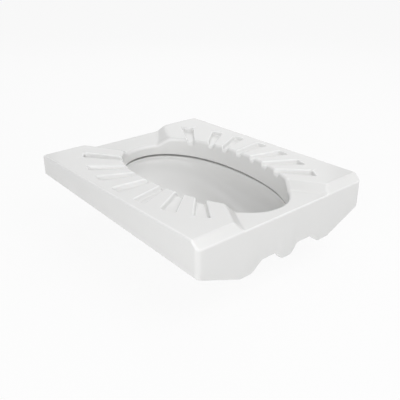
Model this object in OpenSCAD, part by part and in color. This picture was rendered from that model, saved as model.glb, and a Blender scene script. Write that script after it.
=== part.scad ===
// Squat toilet pan, 500 x 600 mm: a vitreous china deck with two ribbed foot treads
// round an egg-shaped opening, a flushing rim, a bowl with a vertical outlet, and the
// two rubber seals that join it to the flush pipe and the drain.
// X runs across the pan, Y along it from the near end to the far (inlet) end, Z up.
// The origin is in the middle of the footprint, on the level that the pan stands on.

/* [Pan] */
// Width across the pan
pan_w = 500; // [480:5:520]
// Length along the pan
pan_l = 600; // [580:5:620]
// Height from the outlet's end to the foot treads
pan_h = 190; // [186:1:200]
// Radius of the upright corners, seen from above
corner_r = 10; // [6:1:20]
// Thickness of the china in the skirts and the end walls
wall_t = 12; // [10:1:14]

/* [Deck] */
// Depth of the near drain channel below the treads
channel_near = 17; // [15:1:19]
// Depth of the far drain channel below the treads
channel_far = 12; // [10:1:14]
// Fall of the far channel towards the opening, for each millimetre along the pan
far_channel_fall = 0.08; // [0.06:0.01:0.09]
// Half width of the near channel at the near edge, at tread level
channel_near_half = 142; // [138:1:146]
// Half width of the far channel at the far edge, at tread level
channel_far_half = 136; // [132:1:140]
// Angle by which each channel flares from the pan's long axis
channel_flare = 30.5; // [29:0.5:32]
// Level run of the slope between a tread and the channel
slope_run = 21; // [19:1:23]
// Level run of the bevel along the near edge of each tread
bevel_run = 19; // [17:1:21]
// Thickness of the deck from the treads down
deck_t = 30; // [29:1:32]

/* [Grooves] */
// Depth of the grooves between the tread ribs
groove_d = 10; // [8:0.5:11]
// Half width of the oval on which the grooves end
groove_oval_w = 232; // [226:1:234]

/* [Opening] */
// Half width of the opening in the deck
rim_w = 139; // [135:1:142]
// Reach of the opening towards the near end
rim_near = 268; // [262:1:270]
// Reach of the opening towards the far end
rim_far = 226; // [222:1:230]
// Thickness of the lip that hangs round the opening
lip_t = 8; // [7:1:9]
// Drop from the treads to the lip's lower edge, level with the middle of the pan
lip_drop = 52.5; // [51:0.5:54]
// Height of the slot under the lip, where the flush water runs into the bowl
slot_h = 6; // [5:1:8]
// Width of the water channel behind the lip
water_w = 20; // [18:1:22]
// Thickness of the water channel's floor and outer wall
channel_t = 8; // [7:1:9]

/* [Skirts] */
// Height of the skirt at the near corners
skirt_near = 78; // [76:1:82]
// Height of the skirt at the far corners
skirt_far = 50; // [46:1:52]
// Reach of the near wall's feet below its corners
foot_drop = 45; // [42:0.5:48]
// Reach of the near wall's two arches below its corners
arch_drop = 23.5; // [22:0.5:26]

/* [Outlet] */
// Distance of the outlet from the middle of the pan, towards the near end
outlet_y = 105; // [95:1:115]
// Outer diameter of the outlet spigot
outlet_d = 102; // [98:1:106]
// Bore of the outlet spigot
outlet_bore = 86; // [82:1:88]
// Height of the outlet spigot
spigot_h = 34; // [32:1:36]
// Length of the spigot's free end, below the seal
spigot_free = 25; // [23:1:26]

/* [Inlet] */
// Height of the flush inlet's axis
inlet_z = 135; // [135:0.5:136]
// Outer diameter of the inlet horn
inlet_d = 46; // [45:1:46]
// Bore of the inlet horn
inlet_bore = 38; // [37:1:39]
// Diameter of the flush pipe that the inlet seal takes
flush_pipe_d = 32; // [30:1:33]

/* [Hidden] */

china = "white";
rubber = "dimgray";
half_w = pan_w / 2;
half_l = pan_l / 2;
deck_z = pan_h - deck_t;          // level of the deck's flat underside
far_out = 400;                    // more than any distance inside the pan

// Ovals: an egg shape made of two half superellipses that share their width
oval_power = 2.12;
oval_steps = 96;
function bend(v) = sign(v) * pow(abs(v), 2 / oval_power);
function oval_point(grow, t) =
    [(rim_w + grow) * bend(cos(t)), ((sin(t) > 0 ? rim_far : rim_near) + grow) * bend(sin(t))];
// The rim's oval, moved outwards by grow
function oval(grow) = [for (i = [0 : oval_steps - 1]) oval_point(grow, i * 360 / oval_steps)];

// Fan of grooves: the angles of the far and the near wall of each, seen from the fan's centre
fan_y = -12;
fan = [[59, 51.5], [41.5, 33.5], [26, 17], [7, -3], [-13, -22.5], [-30.5, -40], [-46.5, -55]];
groove_oval_far = 355;
groove_oval_near = 311;

// Rim: its levels fall towards the near end by this slope, and are given at y = 0
rim_fall = 0.02;
lip_z = pan_h - lip_drop;
channel_z = lip_z - slot_h;
bowl_z = channel_z - channel_t;
bowl_grow = 4;                    // the bowl's mouth is this much wider than the opening
bowl_wall = 11;
channel_grow = lip_t + water_w;   // inner face of the water channel's outer wall
channel_end = -225;               // the water channel ends here on both sides
function fall_z(z, y) = z + rim_fall * y;

// Bowl: rings of points that shrink from the mouth to the outlet
bowl_steps = 72;
sump_t = 12;
sump_wall = 13;
bowl_rings = [0, 0.06, 0.14, 0.24, 0.35, 0.46, 0.57, 0.68, 0.78, 0.87, 0.94, 0.98, 1];

// Flush box: the chamber behind the far end of the bowl, between the inlet and the rim
box_w = 84;
box_front = rim_far + 19;
box_z = inlet_z - inlet_d / 2 - channel_t - 1;
seal_flange_t = 4;
seat_depth = 3;                   // the outlet's seal sits on a neck, this much below the free end
seat_gap = 0.5;                   // what is left between the seal and the free end

// End walls
edge_step = 4;
edge_run = (half_w - 138) / foot_drop;
function ease(v) = let (u = min(max(v, 0), 1)) u * u * (3 - 2 * u);
function mix(a, b, v) = a + (b - a) * ease(v);
// Drop of the near wall's lower edge below the corners, at a distance x from the middle
function near_drop(x) =
    x > 122 ? min(foot_drop, (half_w - x) / edge_run) :
    x > 50 ? mix(arch_drop, foot_drop, (x - 72) / 38) :
    mix(foot_drop, arch_drop, (x - 11) / 25);
// Height of the far wall's lower edge, which comes down to a broad standing foot
far_corner_z = pan_h - skirt_far;
foot_top_z = far_corner_z - foot_drop;
function far_edge(x) =
    x > 138 ? far_corner_z - (half_w - x) / edge_run :
    x > 40 ? mix(0, foot_top_z, (x - 60) / 78) :
    mix(24, 0, (x - 8) / 16);

module footprint() {
    offset_r = corner_r;
    union() {
        square([pan_w - 2 * offset_r, pan_l], center = true);
        square([pan_w, pan_l - 2 * offset_r], center = true);
        for (sx = [-1, 1], sy = [-1, 1])
            translate([sx * (half_w - offset_r), sy * (half_l - offset_r)])
                circle(r = offset_r, $fn = 48);
    }
}

// Everything above a plane through [0, y, z] that rises towards +Y by rise for each mm
module above(y, z, rise) {
    translate([0, y, z])
        rotate([atan(rise), 0, 0])
            translate([-far_out, -2 * far_out, 0])
                cube([2 * far_out, 4 * far_out, far_out]);
}

// A half space whose face starts on the tread line through [x, y] and slopes down inwards
module slope_side(x, y, turn, drop) {
    translate([x, y, pan_h])
        rotate([0, 0, turn])
            rotate([0, -atan(drop / slope_run), 0])
                translate([-far_out, -2 * far_out, 0])
                    cube([far_out, 4 * far_out, far_out]);
}

// The drain channel at one end: end is -1 for the near end and 1 for the far end
module drain_channel(end, half, drop) {
    mouth = end < 0 ? half_l - bevel_run : half_l;
    fall = end < 0 ? 0 : far_channel_fall;
    intersection() {
        translate([-far_out, end < 0 ? -far_out : 0, deck_z])
            cube([2 * far_out, far_out, 2 * deck_t]);
        above(end * half_l, pan_h - drop, fall);
        slope_side(half, end * mouth, -end * channel_flare, drop);
        mirror([1, 0, 0])
            slope_side(half, end * mouth, -end * channel_flare, drop);
    }
}

// Distance from the fan's centre to the grooves' outer oval, at an angle
function groove_reach(a) =
    1 / pow(pow(abs(cos(a)) / groove_oval_w, oval_power)
        + pow(abs(sin(a)) / (a > 0 ? groove_oval_far : groove_oval_near), oval_power), 1 / oval_power);

function fan_point(r, a) = [r * cos(a), r * sin(a)];

module groove(walls) {
    start = rim_w / 2;
    translate([0, fan_y, pan_h - groove_d])
        linear_extrude(height = 2 * groove_d)
            polygon([
                fan_point(start, walls[0]),
                fan_point(groove_reach(walls[0]), walls[0]),
                fan_point(groove_reach((walls[0] + walls[1]) / 2), (walls[0] + walls[1]) / 2),
                fan_point(groove_reach(walls[1]), walls[1]),
                fan_point(start, walls[1])]);
}

// The hollows cast under the two treads, which keep the china about one thickness
module tread_hollow() {
    difference() {
        square([pan_w - 2 * wall_t, pan_l - 2 * wall_t], center = true);
        polygon(oval(channel_grow + channel_t + 4));
        square([2 * channel_near_half + 20, pan_l], center = true);
    }
}

module deck() {
    hollow_h = deck_t - groove_d - wall_t;
    color(china)
    difference() {
        translate([0, 0, deck_z])
            linear_extrude(height = deck_t)
                footprint();
        translate([0, 0, deck_z - 1])
            linear_extrude(height = deck_t + 2)
                polygon(oval(0));
        drain_channel(-1, channel_near_half, channel_near);
        drain_channel(1, channel_far_half, channel_far);
        above(-half_l, pan_h - channel_near, channel_near / bevel_run);
        for (side = [0, 1], walls = fan)
            mirror([side, 0, 0])
                groove(walls);
        translate([0, 0, deck_z - 1])
            linear_extrude(height = hollow_h + 1)
                tread_hollow();
    }
}

// A plan shape as a block under the deck, cut off below at a level that falls with the rim
module under_deck(low_z) {
    intersection() {
        translate([0, 0, deck_z - 100])
            linear_extrude(height = 100)
                children();
        above(0, low_z, rim_fall);
    }
}

// The part of a plan shape beyond the ends of the water channel, or short of them
module past_channel_end(near) {
    intersection() {
        children();
        translate([-far_out, near ? channel_end - far_out : channel_end])
            square([2 * far_out, near ? far_out : 2 * far_out]);
    }
}

module rim_lip() {
    color(china)
    under_deck(lip_z)
        past_channel_end(false)
            difference() {
                polygon(oval(lip_t));
                polygon(oval(0));
            }
}

module rim_channel() {
    gate_w = box_w - 2 * channel_t;
    color(china)
    difference() {
        under_deck(bowl_z)
            past_channel_end(false)
                difference() {
                    polygon(oval(channel_grow + channel_t));
                    polygon(oval(bowl_grow));
                }
        intersection() {
            above(0, channel_z, rim_fall);
            linear_extrude(height = pan_h)
                difference() {
                    union() {
                        polygon(oval(channel_grow));
                        translate([-gate_w / 2, 0])
                            square([gate_w, far_out]);
                    }
                    translate([-far_out, channel_end - far_out + channel_t])
                        square([2 * far_out, far_out]);
                }
        }
        under_deck(channel_z)
            polygon(oval(lip_t));
        translate([-gate_w / 2, box_front + channel_t, 0])
            cube([gate_w, far_out, pan_h]);
    }
}

module rim_end_block() {
    color(china)
    under_deck(bowl_z)
        past_channel_end(true)
            difference() {
                polygon(oval(bowl_grow + bowl_wall));
                polygon(oval(0));
            }
}

// One ring of the bowl: u runs from the mouth to the outlet, and grow thickens the wall
function bowl_ring(u, grow, floor_z) =
    [for (i = [0 : bowl_steps - 1])
        let (t = i * 360 / bowl_steps,
             mouth = oval_point(bowl_grow + grow, t),
             mouth_z = fall_z(bowl_z, mouth[1]),
             drain_r = outlet_bore / 2 + grow * sump_wall / bowl_wall,
             drain = [drain_r * cos(t), -outlet_y + drain_r * sin(t)],
             round = 3 - 1.5 * ease(sin(t)),
             g = pow(max(1 - pow(u, round), 0), 0.5 + 0.15 * ease(sin(t))))
        [drain[0] + (mouth[0] - drain[0]) * g, drain[1] + (mouth[1] - drain[1]) * g,
         mouth_z + (floor_z - mouth_z) * u]];

module bowl() {
    inner = concat(
        [for (u = bowl_rings) bowl_ring(u, 0, spigot_h + sump_t)],
        [[for (p = bowl_ring(1, 0, spigot_h)) p]]);
    outer = [for (k = [len(bowl_rings) - 1 : -1 : 0]) bowl_ring(bowl_rings[k], bowl_wall, spigot_h)];
    rings = concat(inner, outer);
    n = bowl_steps;
    count = len(rings);
    points = [for (r = rings, p = r) p];
    faces = [for (k = [0 : count - 1], i = [0 : n - 1], half = [0, 1])
        let (a = k * n + i, b = k * n + (i + 1) % n,
             c = ((k + 1) % count) * n + (i + 1) % n, d = ((k + 1) % count) * n + i)
        half == 0 ? [a, b, c] : [a, c, d]];
    color(china)
        polyhedron(points = points, faces = faces, convexity = 8);
}

module flush_box() {
    inside = box_w - 2 * channel_t;
    depth = half_l - wall_t - box_front;
    color(china)
    difference() {
        translate([-box_w / 2, box_front, box_z])
            cube([box_w, depth, deck_z - box_z]);
        translate([-inside / 2, box_front + channel_t, box_z + channel_t])
            cube([inside, far_out, pan_h]);
        under_deck(bowl_z)
            polygon(oval(channel_grow + channel_t));
    }
}

module outlet_spigot() {
    color(china)
    translate([0, -outlet_y, 0])
        difference() {
            union() {
                cylinder(d = outlet_d, h = spigot_free, $fn = 96);
                cylinder(d = outlet_d - 2 * seat_depth, h = spigot_h, $fn = 96);
            }
            translate([0, 0, -1])
                cylinder(d = outlet_bore, h = spigot_h + 2, $fn = 96);
        }
}

module skirt(side) {
    inner = half_l - wall_t;
    rise = (skirt_near - skirt_far) / pan_l;
    color(china)
    translate([side > 0 ? half_w - wall_t : -half_w, 0, 0])
        rotate([90, 0, 90])
            linear_extrude(height = wall_t)
                polygon([
                    [-inner, pan_h - skirt_near + rise * wall_t],
                    [inner, pan_h - skirt_far - rise * wall_t],
                    [inner, deck_z],
                    [-inner, deck_z]]);
}

module end_wall(y, edge) {
    intersection() {
        linear_extrude(height = deck_z)
            footprint();
        translate([0, y + wall_t, 0])
            rotate([90, 0, 0])
                linear_extrude(height = wall_t)
                    polygon(concat(
                        [for (x = [-half_w : edge_step : half_w]) [x, edge[abs(x)]]],
                        [[half_w, deck_z], [-half_w, deck_z]]));
    }
}

module near_end_wall() {
    edge = [for (x = [0 : half_w]) pan_h - skirt_near - near_drop(x)];
    color(china)
        end_wall(-half_l, edge);
}

module far_end_wall() {
    edge = [for (x = [0 : half_w]) far_edge(x)];
    color(china)
    difference() {
        end_wall(half_l - wall_t, edge);
        translate([0, half_l - 2 * wall_t, inlet_z])
            rotate([-90, 0, 0])
                cylinder(d = inlet_d, h = 4 * wall_t, $fn = 96);
    }
}

module inlet_horn() {
    back = half_l - wall_t - channel_t;
    length = half_l - seal_flange_t - back;
    color(china)
    translate([0, back, inlet_z])
        rotate([-90, 0, 0])
            difference() {
                cylinder(d = inlet_d, h = length, $fn = 96);
                translate([0, 0, -1])
                    cylinder(d = inlet_bore, h = length + 2, $fn = 96);
            }
}

module inlet_seal() {
    length = 26;
    color(rubber)
    translate([0, half_l, inlet_z])
        rotate([90, 0, 0])
            difference() {
                union() {
                    cylinder(d = inlet_bore, h = length, $fn = 96);
                    cylinder(d = inlet_d - 2, h = seal_flange_t, $fn = 96);
                }
                translate([0, 0, -1])
                    cylinder(d = flush_pipe_d, h = length + 2, $fn = 96);
            }
}

module outlet_seal() {
    seal_t = 7;
    seal_h = spigot_h - spigot_free - seat_gap;
    color(rubber)
    translate([0, -outlet_y, spigot_h - seal_h])
        rotate_extrude($fn = 96)
            translate([outlet_d / 2 - seat_depth, 0])
                polygon([
                    [0, 0],
                    [seal_t - 2, 0],
                    [seal_t, seal_h / 3],
                    [seal_t, seal_h / 2],
                    [seal_t - 2, seal_h],
                    [0, seal_h]]);
}

deck();
rim_lip();
rim_channel();
rim_end_block();
bowl();
outlet_spigot();
skirt(-1);  // left_skirt
skirt(1);  // right_skirt
near_end_wall();
far_end_wall();
flush_box();
inlet_horn();
inlet_seal();
outlet_seal();
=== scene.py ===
import math

import bmesh
import bpy
import numpy as np
from bpy.props import FloatProperty, FloatVectorProperty, PointerProperty
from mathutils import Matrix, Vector
from mathutils.geometry import delaunay_2d_cdt


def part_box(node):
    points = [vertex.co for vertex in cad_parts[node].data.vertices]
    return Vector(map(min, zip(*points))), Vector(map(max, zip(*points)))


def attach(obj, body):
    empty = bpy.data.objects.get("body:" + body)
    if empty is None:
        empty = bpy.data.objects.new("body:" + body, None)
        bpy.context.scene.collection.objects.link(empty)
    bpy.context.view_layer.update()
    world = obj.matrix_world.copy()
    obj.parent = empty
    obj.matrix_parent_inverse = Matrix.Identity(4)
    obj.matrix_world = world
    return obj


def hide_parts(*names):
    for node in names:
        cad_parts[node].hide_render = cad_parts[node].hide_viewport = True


bl_info = {
    "name": "Squat Toilet Pan",
    "version": (1, 0, 0),
    "blender": (4, 5, 0),
    "location": "View3D > Sidebar > Squat Pan",
    "description": "Builds a glazed squat toilet pan with its seals and a studio stage",
    "category": "Object",
}

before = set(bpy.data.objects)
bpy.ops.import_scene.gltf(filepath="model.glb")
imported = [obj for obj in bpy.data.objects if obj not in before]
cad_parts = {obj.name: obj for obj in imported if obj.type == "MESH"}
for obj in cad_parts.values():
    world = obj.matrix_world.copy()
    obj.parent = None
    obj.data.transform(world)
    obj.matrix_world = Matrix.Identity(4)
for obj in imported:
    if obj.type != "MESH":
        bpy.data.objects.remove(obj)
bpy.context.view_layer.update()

MM = 0.001
CHINA_SLOT = "glazed_china"
RUBBER_SLOT = "seal_rubber"


def cad_box(node):
    """A node's lowest and highest corners in millimetres."""
    low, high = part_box(node)
    return np.array(low) / MM, np.array(high) / MM


# Sizes taken from the frame
DECK_LOW, DECK_HIGH = cad_box("deck")
HALF_W = DECK_HIGH[0]
HALF_L = DECK_HIGH[1]
TREAD_Z = DECK_HIGH[2]
DECK_Z = DECK_LOW[2]
WALL_T = cad_box("left_skirt")[1][0] + HALF_W
SPIGOT_LOW, SPIGOT_HIGH = cad_box("outlet_spigot")
SPIGOT_R = SPIGOT_HIGH[0]
SPIGOT_TOP = SPIGOT_HIGH[2]
OUTLET_Y = (SPIGOT_LOW[1] + SPIGOT_HIGH[1]) / 2
HORN_LOW, HORN_HIGH = cad_box("inlet_horn")
HORN_R = HORN_HIGH[0]
INLET_Z = (HORN_LOW[2] + HORN_HIGH[2]) / 2

# Plan of the deck
CORNER_R = 10.0
CHANNEL_NEAR = 17.0
CHANNEL_FAR = 12.0
CHANNEL_NEAR_HALF = 142.0
CHANNEL_FAR_HALF = 136.0
CHANNEL_FLARE = math.radians(30.5)
SLOPE_RUN = 21.0
BEVEL_RUN = 19.0
NEAR_LEVEL = TREAD_Z - CHANNEL_NEAR
FAR_CHANNEL_FALL = 0.08
TREAD_HOLLOW_UP = 8.0
TREAD_HOLLOW_X = CHANNEL_NEAR_HALF + 10
TREAD_HOLLOW_GAP = 4.0

# Each channel's mouth: half its width, its place along the pan and the way out through it
NEAR_MOUTH = (CHANNEL_NEAR_HALF, -HALF_L + BEVEL_RUN, -1)
FAR_MOUTH = (CHANNEL_FAR_HALF, HALF_L, 1)

# Opening: two half superellipses that share their width
OVAL_POWER = 2.12
RIM_W = 139.0
RIM_NEAR = 268.0
RIM_FAR = 226.0
LIP_T = cad_box("rim_lip")[1][0] - RIM_W

# Grooves: the far and the near wall of each, as angles seen from the fan's centre, and the oval
# of their outer ends, as half its width and its reach to the far and to the near end
FAN_Y = -12.0
FAN = ((59, 51.5), (41.5, 33.5), (26, 17), (7, -3), (-13, -22.5), (-30.5, -40), (-46.5, -55))
GROOVE_DEPTH = 10.0
GROOVE_OVAL = (232.0, 355.0, 311.0)
GROOVE_DRAFT = math.radians(80)
GROOVE_STEPS = (0.08, 0.18, 0.28, 0.37, 0.44, 0.56, 0.63, 0.72, 0.82, 0.92, 1.0)

# Painted edge highlight on the deck: the bends, per millimetre, at which it begins and at which it is full,
# and the width of the band just outside a groove that gets none
HIGHLIGHT_BEND = 0.15
HIGHLIGHT_FULL_BEND = 0.3
HIGHLIGHT_MARGIN = 0.8

# Rim and bowl
RIM_FALL = 0.02
LIP_Z = TREAD_Z - 52.5
CHANNEL_Z = LIP_Z - 6.0
CHANNEL_T = 8.0
BOWL_Z = CHANNEL_Z - CHANNEL_T
BOWL_GROW = 4.0
BOWL_WALL = 11.0
WATER_GROW = 28.0
CHANNEL_REACH = 225.0
SUMP_T = 12.0
SUMP_WALL = 13.0
OUTLET_BORE_R = 43.0
NECK_R = 48.0
FREE_LENGTH = 25.0
GATE_HALF_W = 34.0
GATE_REACH = 8.0

# Inlet: the pipe that its seal takes, and the step from the seal's flange down to its sleeve
PIPE_R = 16.0
FLANGE_STEP = 3.0

# Skirts and end walls; an end wall's lower edge slopes down from its corners to WALL_BEND_X
SKIRT_NEAR = 78.0
SKIRT_FAR = 50.0
FOOT_DROP = 45.0
ARCH_DROP = 23.5
WALL_BEND_X = 138.0
EDGE_RUN = (HALF_W - WALL_BEND_X) / FOOT_DROP

# Near wall, out from its middle: the side of the middle foot, a place in the arch, the side of
# the outer foot and a place on that foot
MIDDLE_FOOT_SIDE = (11.0, 36.0)
ARCH_X = 50.0
OUTER_FOOT_SIDE = (72.0, 110.0)
OUTER_FOOT_X = 122.0

# Far wall, out from its middle: the notch's side and height, a place on the standing foot and
# that foot's outer side
NOTCH_SIDE = (8.0, 24.0)
NOTCH_H = 24.0
STANDING_FOOT_X = 40.0
STANDING_FOOT_SIDE = (60.0, WALL_BEND_X)

# Mesh of the deck: spacing along its outline, the radius below which a corner is drawn as a
# point, inner points, the shares of a blend that get a line, the distance at which a point
# counts as on an edge, and the step that slopes and bends are measured over
OUTLINE_SPACING = 5.0
LEAST_ROUND = 0.2
GRID_X = range(-240, 241, 20)
GRID_Y = range(-285, 286, 19)
BLEND_PARTS = (-1.0, -0.5, 0.0, 0.5, 1.0)
ON_EDGE = 0.05
STEP = 0.02

# An edge that turns by more degrees than this is drawn sharp: on china, in the bowl and on rubber
SHARP_ANGLE = 35.0
BOWL_SHARP_ANGLE = 40.0
RUBBER_SHARP_ANGLE = 50.0


# ---- general helpers

def ease(v):
    """A smooth rise from 0 to 1 as v goes from 0 to 1."""
    u = np.clip(v, 0.0, 1.0)
    return u * u * (3 - 2 * u)


def ease_over(x, span):
    """A smooth rise from 0 to 1 as x goes from one end of a span to the other."""
    return ease((x - span[0]) / (span[1] - span[0]))


def smooth_min(a, b, reach):
    """The lower of two heights, blended where they are within reach of each other."""
    h = np.clip(reach - np.abs(a - b), 0.0, None) / reach
    return np.minimum(a, b) - h * h * reach / 4


def smooth_max(a, b, reach):
    """The upper of two heights, blended in the same way."""
    return -smooth_min(-a, -b, reach)


def roll_drop(d, r):
    """How far a quarter-round edge of radius r has fallen, at a distance d in from the edge."""
    gap = np.clip(r - d, 0.0, r)
    return r - np.sqrt(np.clip(r * r - gap * gap, 0.0, None))


def roll_steps(r, count):
    """Distances in from a quarter-round edge that divide its arc evenly."""
    return [r * (1 - math.cos(math.pi / 2 * k / count)) for k in range(count + 1)]


def oval_points(grow, angles):
    """Points of the rim's oval, moved outwards by grow."""
    c, s = np.cos(angles), np.sin(angles)
    reach = np.where(s > 0, RIM_FAR, RIM_NEAR) + grow
    power = 2 / OVAL_POWER
    x = (RIM_W + grow) * np.sign(c) * np.abs(c) ** power
    y = reach * np.sign(s) * np.abs(s) ** power
    return np.stack([x, y], 1)


def rim_distance(x, y):
    """Distance outwards from the rim's oval, good close to it."""
    reach = np.where(y > 0, RIM_FAR, RIM_NEAR)
    a = np.abs(x) / RIM_W
    b = np.abs(y) / reach
    f = a ** OVAL_POWER + b ** OVAL_POWER
    g = f ** (1 / OVAL_POWER)
    ga = g / f * a ** (OVAL_POWER - 1) / RIM_W
    gb = g / f * b ** (OVAL_POWER - 1) / reach
    return (g - 1) / np.hypot(ga, gb)


def fall(z, y):
    """A level of the rim at y: the rim falls towards the near end."""
    return z + RIM_FALL * y


def finish_mesh(name, verts, faces, slot=CHINA_SLOT, normals=None, flat_from=None,
                sharp=SHARP_ANGLE):
    """Makes a closed piece from millimetre points and puts it in place of the CAD node of its name."""
    mesh = bpy.data.meshes.new(name)
    mesh.from_pydata([tuple(v) for v in np.asarray(verts, float) * MM], [], faces)
    work = bmesh.new()
    work.from_mesh(mesh)
    if normals is None:
        bmesh.ops.remove_doubles(work, verts=work.verts, dist=1e-6)
        bmesh.ops.dissolve_degenerate(work, dist=1e-7, edges=work.edges)
    bmesh.ops.recalc_face_normals(work, faces=work.faces)
    work.to_mesh(mesh)
    work.free()
    mesh.shade_smooth()
    if normals is None:
        mesh.set_sharp_from_angle(angle=math.radians(sharp))
    else:
        mesh.normals_split_custom_set([tuple(poly.normal if poly.index >= flat_from else normals[k])
                                       for poly in mesh.polygons for k in poly.vertices])
    piece = bpy.data.objects.new(name, mesh)
    bpy.context.scene.collection.objects.link(piece)
    mesh.materials.append(material_for(slot))
    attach(piece, "root")
    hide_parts(name)
    return piece


def sweep(sections, closed=False):
    """Joins a row of closed sections, each an equal count of 3-D points, into one skin."""
    sections = np.asarray(sections, float)
    count, n = sections.shape[:2]
    faces = []
    for k in range(count if closed else count - 1):
        a, b = k * n, (k + 1) % count * n
        for i in range(n):
            j = (i + 1) % n
            faces.append((a + i, b + i, b + j, a + j))
    if not closed:
        faces.append(tuple(range(n)))
        faces.append(tuple(range(count * n - 1, (count - 1) * n - 1, -1)))
    return sections.reshape(-1, 3), faces


def pairs_round(items):
    """Each item of a closed row with the one after it."""
    return list(zip(items, items[1:] + items[:1]))


def arc(cx, cz, r, start, end, count):
    """Points of an arc in a section plane; angles in degrees."""
    turns = np.radians(np.linspace(start, end, count + 1))
    return [(cx + r * math.cos(t), cz + r * math.sin(t)) for t in turns]


# ---- materials

def linear(hex_colour):
    """An sRGB hex colour as linear RGBA."""
    parts = [int(hex_colour[k:k + 2], 16) / 255 for k in (1, 3, 5)]
    return tuple(c / 12.92 if c <= 0.04045 else ((c + 0.055) / 1.055) ** 2.4 for c in parts) + (1.0,)


def add_node(tree, kind, settings=None, links=None):
    """Adds one node; settings go to its sockets or properties, links are (socket, from) pairs."""
    node = tree.nodes.new(kind)
    for key, value in (settings or {}).items():
        if isinstance(key, int) or key in node.inputs:
            node.inputs[key].default_value = value
        else:
            setattr(node, key, value)
    for key, source in (links or {}).items():
        tree.links.new(source, node.inputs[key])
    return node


def rgba(colour, share=1.0):
    """A colour setting as RGBA, with its levels multiplied by a share."""
    return tuple(c * share for c in colour) + (1.0,)


def new_material(name):
    """An empty material and its node tree."""
    material = bpy.data.materials.new(name)
    material.use_nodes = True
    material.node_tree.nodes.clear()
    return material, material.node_tree


def glazed_vitreous_china(finish):
    """White vitreous china, slip cast, sprayed with a clear gloss glaze and fired."""
    material, tree = new_material("glazed_vitreous_china")
    place = add_node(tree, "ShaderNodeTexCoord").outputs["Object"]
    # The glaze pools a little thicker in places, which the eye reads as a faint change of white.
    pool = add_node(tree, "ShaderNodeTexNoise", {"Scale": 1 / (90 * MM), "Detail": 2.0}, {"Vector": place})
    tint = add_node(tree, "ShaderNodeMix", {"data_type": "RGBA", 6: rgba(finish.china_colour),
                    7: rgba(finish.china_colour, 0.975)}, {0: pool.outputs[0]})
    # Painted highlight: upward-facing convex edges are mixed towards a whiter colour, standing in for the
    # light they catch.
    lit = add_node(tree, "ShaderNodeAttribute", {"attribute_name": "thin_glaze"})
    edge = add_node(tree, "ShaderNodeMix", {"data_type": "RGBA", 7: rgba(finish.edge_colour)},
                    {0: lit.outputs["Fac"], 6: tint.outputs[2]})
    # Fired glaze is never quite flat: long low waves bend its reflections.
    wave = add_node(tree, "ShaderNodeTexNoise", {"Scale": 1 / (28 * MM), "Detail": 1.0}, {"Vector": place})
    skin = add_node(tree, "ShaderNodeBump", {"Strength": 0.12, "Distance": 0.6 * MM},
                    {"Height": wave.outputs[0]})
    # Pinholes and dust make the gloss vary slightly from place to place.
    haze = add_node(tree, "ShaderNodeMapRange", {"To Min": finish.china_roughness * 0.85,
                    "To Max": finish.china_roughness * 1.15}, {"Value": pool.outputs[0]})
    body = add_node(tree, "ShaderNodeBsdfPrincipled", {"IOR": 1.5},
                    {"Base Color": edge.outputs[2], "Roughness": haze.outputs[0], "Normal": skin.outputs[0]})
    add_node(tree, "ShaderNodeOutputMaterial", None, {"Surface": body.outputs[0]})
    return material


def moulded_epdm_rubber(finish):
    """Black EPDM rubber, compression moulded: a matt skin with a fine bloom."""
    material, tree = new_material("moulded_epdm_rubber")
    place = add_node(tree, "ShaderNodeTexCoord").outputs["Object"]
    # Bloom is a pale dust that rubber sweats out; it greys the black in soft patches.
    bloom = add_node(tree, "ShaderNodeTexNoise", {"Scale": 1 / (12 * MM), "Detail": 3.0}, {"Vector": place})
    tint = add_node(tree, "ShaderNodeMix", {"data_type": "RGBA", 6: rgba(finish.rubber_colour),
                    7: rgba(finish.rubber_colour, 2.2)}, {0: bloom.outputs[0]})
    # The mould's spark-eroded grain, drawn at 0.8 mm because the real 0.1 mm wouldn't show.
    grain = add_node(tree, "ShaderNodeTexNoise", {"Scale": 1 / (0.8 * MM), "Detail": 2.0}, {"Vector": place})
    skin = add_node(tree, "ShaderNodeBump", {"Strength": 0.25, "Distance": 0.1 * MM},
                    {"Height": grain.outputs[0]})
    body = add_node(tree, "ShaderNodeBsdfPrincipled", {"IOR": 1.52, "Roughness": 0.62},
                    {"Base Color": tint.outputs[2], "Normal": skin.outputs[0]})
    add_node(tree, "ShaderNodeOutputMaterial", None, {"Surface": body.outputs[0]})
    return material


def material_for(slot):
    """The material of a record slot, made the first time it is asked for."""
    maker = {CHINA_SLOT: glazed_vitreous_china, RUBBER_SLOT: moulded_epdm_rubber}[slot]
    return bpy.data.materials.get(maker.__name__) or maker(bpy.context.scene.pan_finish)


# ---- deck

def channel_level(y):
    """Floor level of the drain channel at either end; the far one falls towards the opening."""
    return np.where(y < 0, NEAR_LEVEL, TREAD_Z - CHANNEL_FAR - FAR_CHANNEL_FALL * (HALF_L - y))


def slope_offset(x, y, mouth):
    """Distance into the channel from the top edge of the slope beside it."""
    half, mouth_y, way = mouth
    return (half - np.abs(x)) * math.cos(CHANNEL_FLARE) + way * (y - mouth_y) * math.sin(CHANNEL_FLARE)


def groove_inset(x, y, walls, corner_r):
    """Distance in from a groove's outline, whose outer corners are rounded in plan."""
    px, py = np.abs(x), y - FAN_Y
    far, near = math.radians(walls[0]), math.radians(walls[1])
    side = np.minimum(px * math.sin(far) - py * math.cos(far), py * math.cos(near) - px * math.sin(near))
    r = np.hypot(px, py)
    w, b_far, b_near = GROOVE_OVAL
    b = np.where(py > 0, b_far, b_near)
    size = ((px / r / w) ** OVAL_POWER + (np.abs(py) / r / b) ** OVAL_POWER) ** (-1 / OVAL_POWER)
    end = size - r
    rounded = corner_r - np.hypot(corner_r - side, corner_r - end)
    return np.where((side < corner_r) & (end < corner_r), rounded, np.minimum(side, end))


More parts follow.
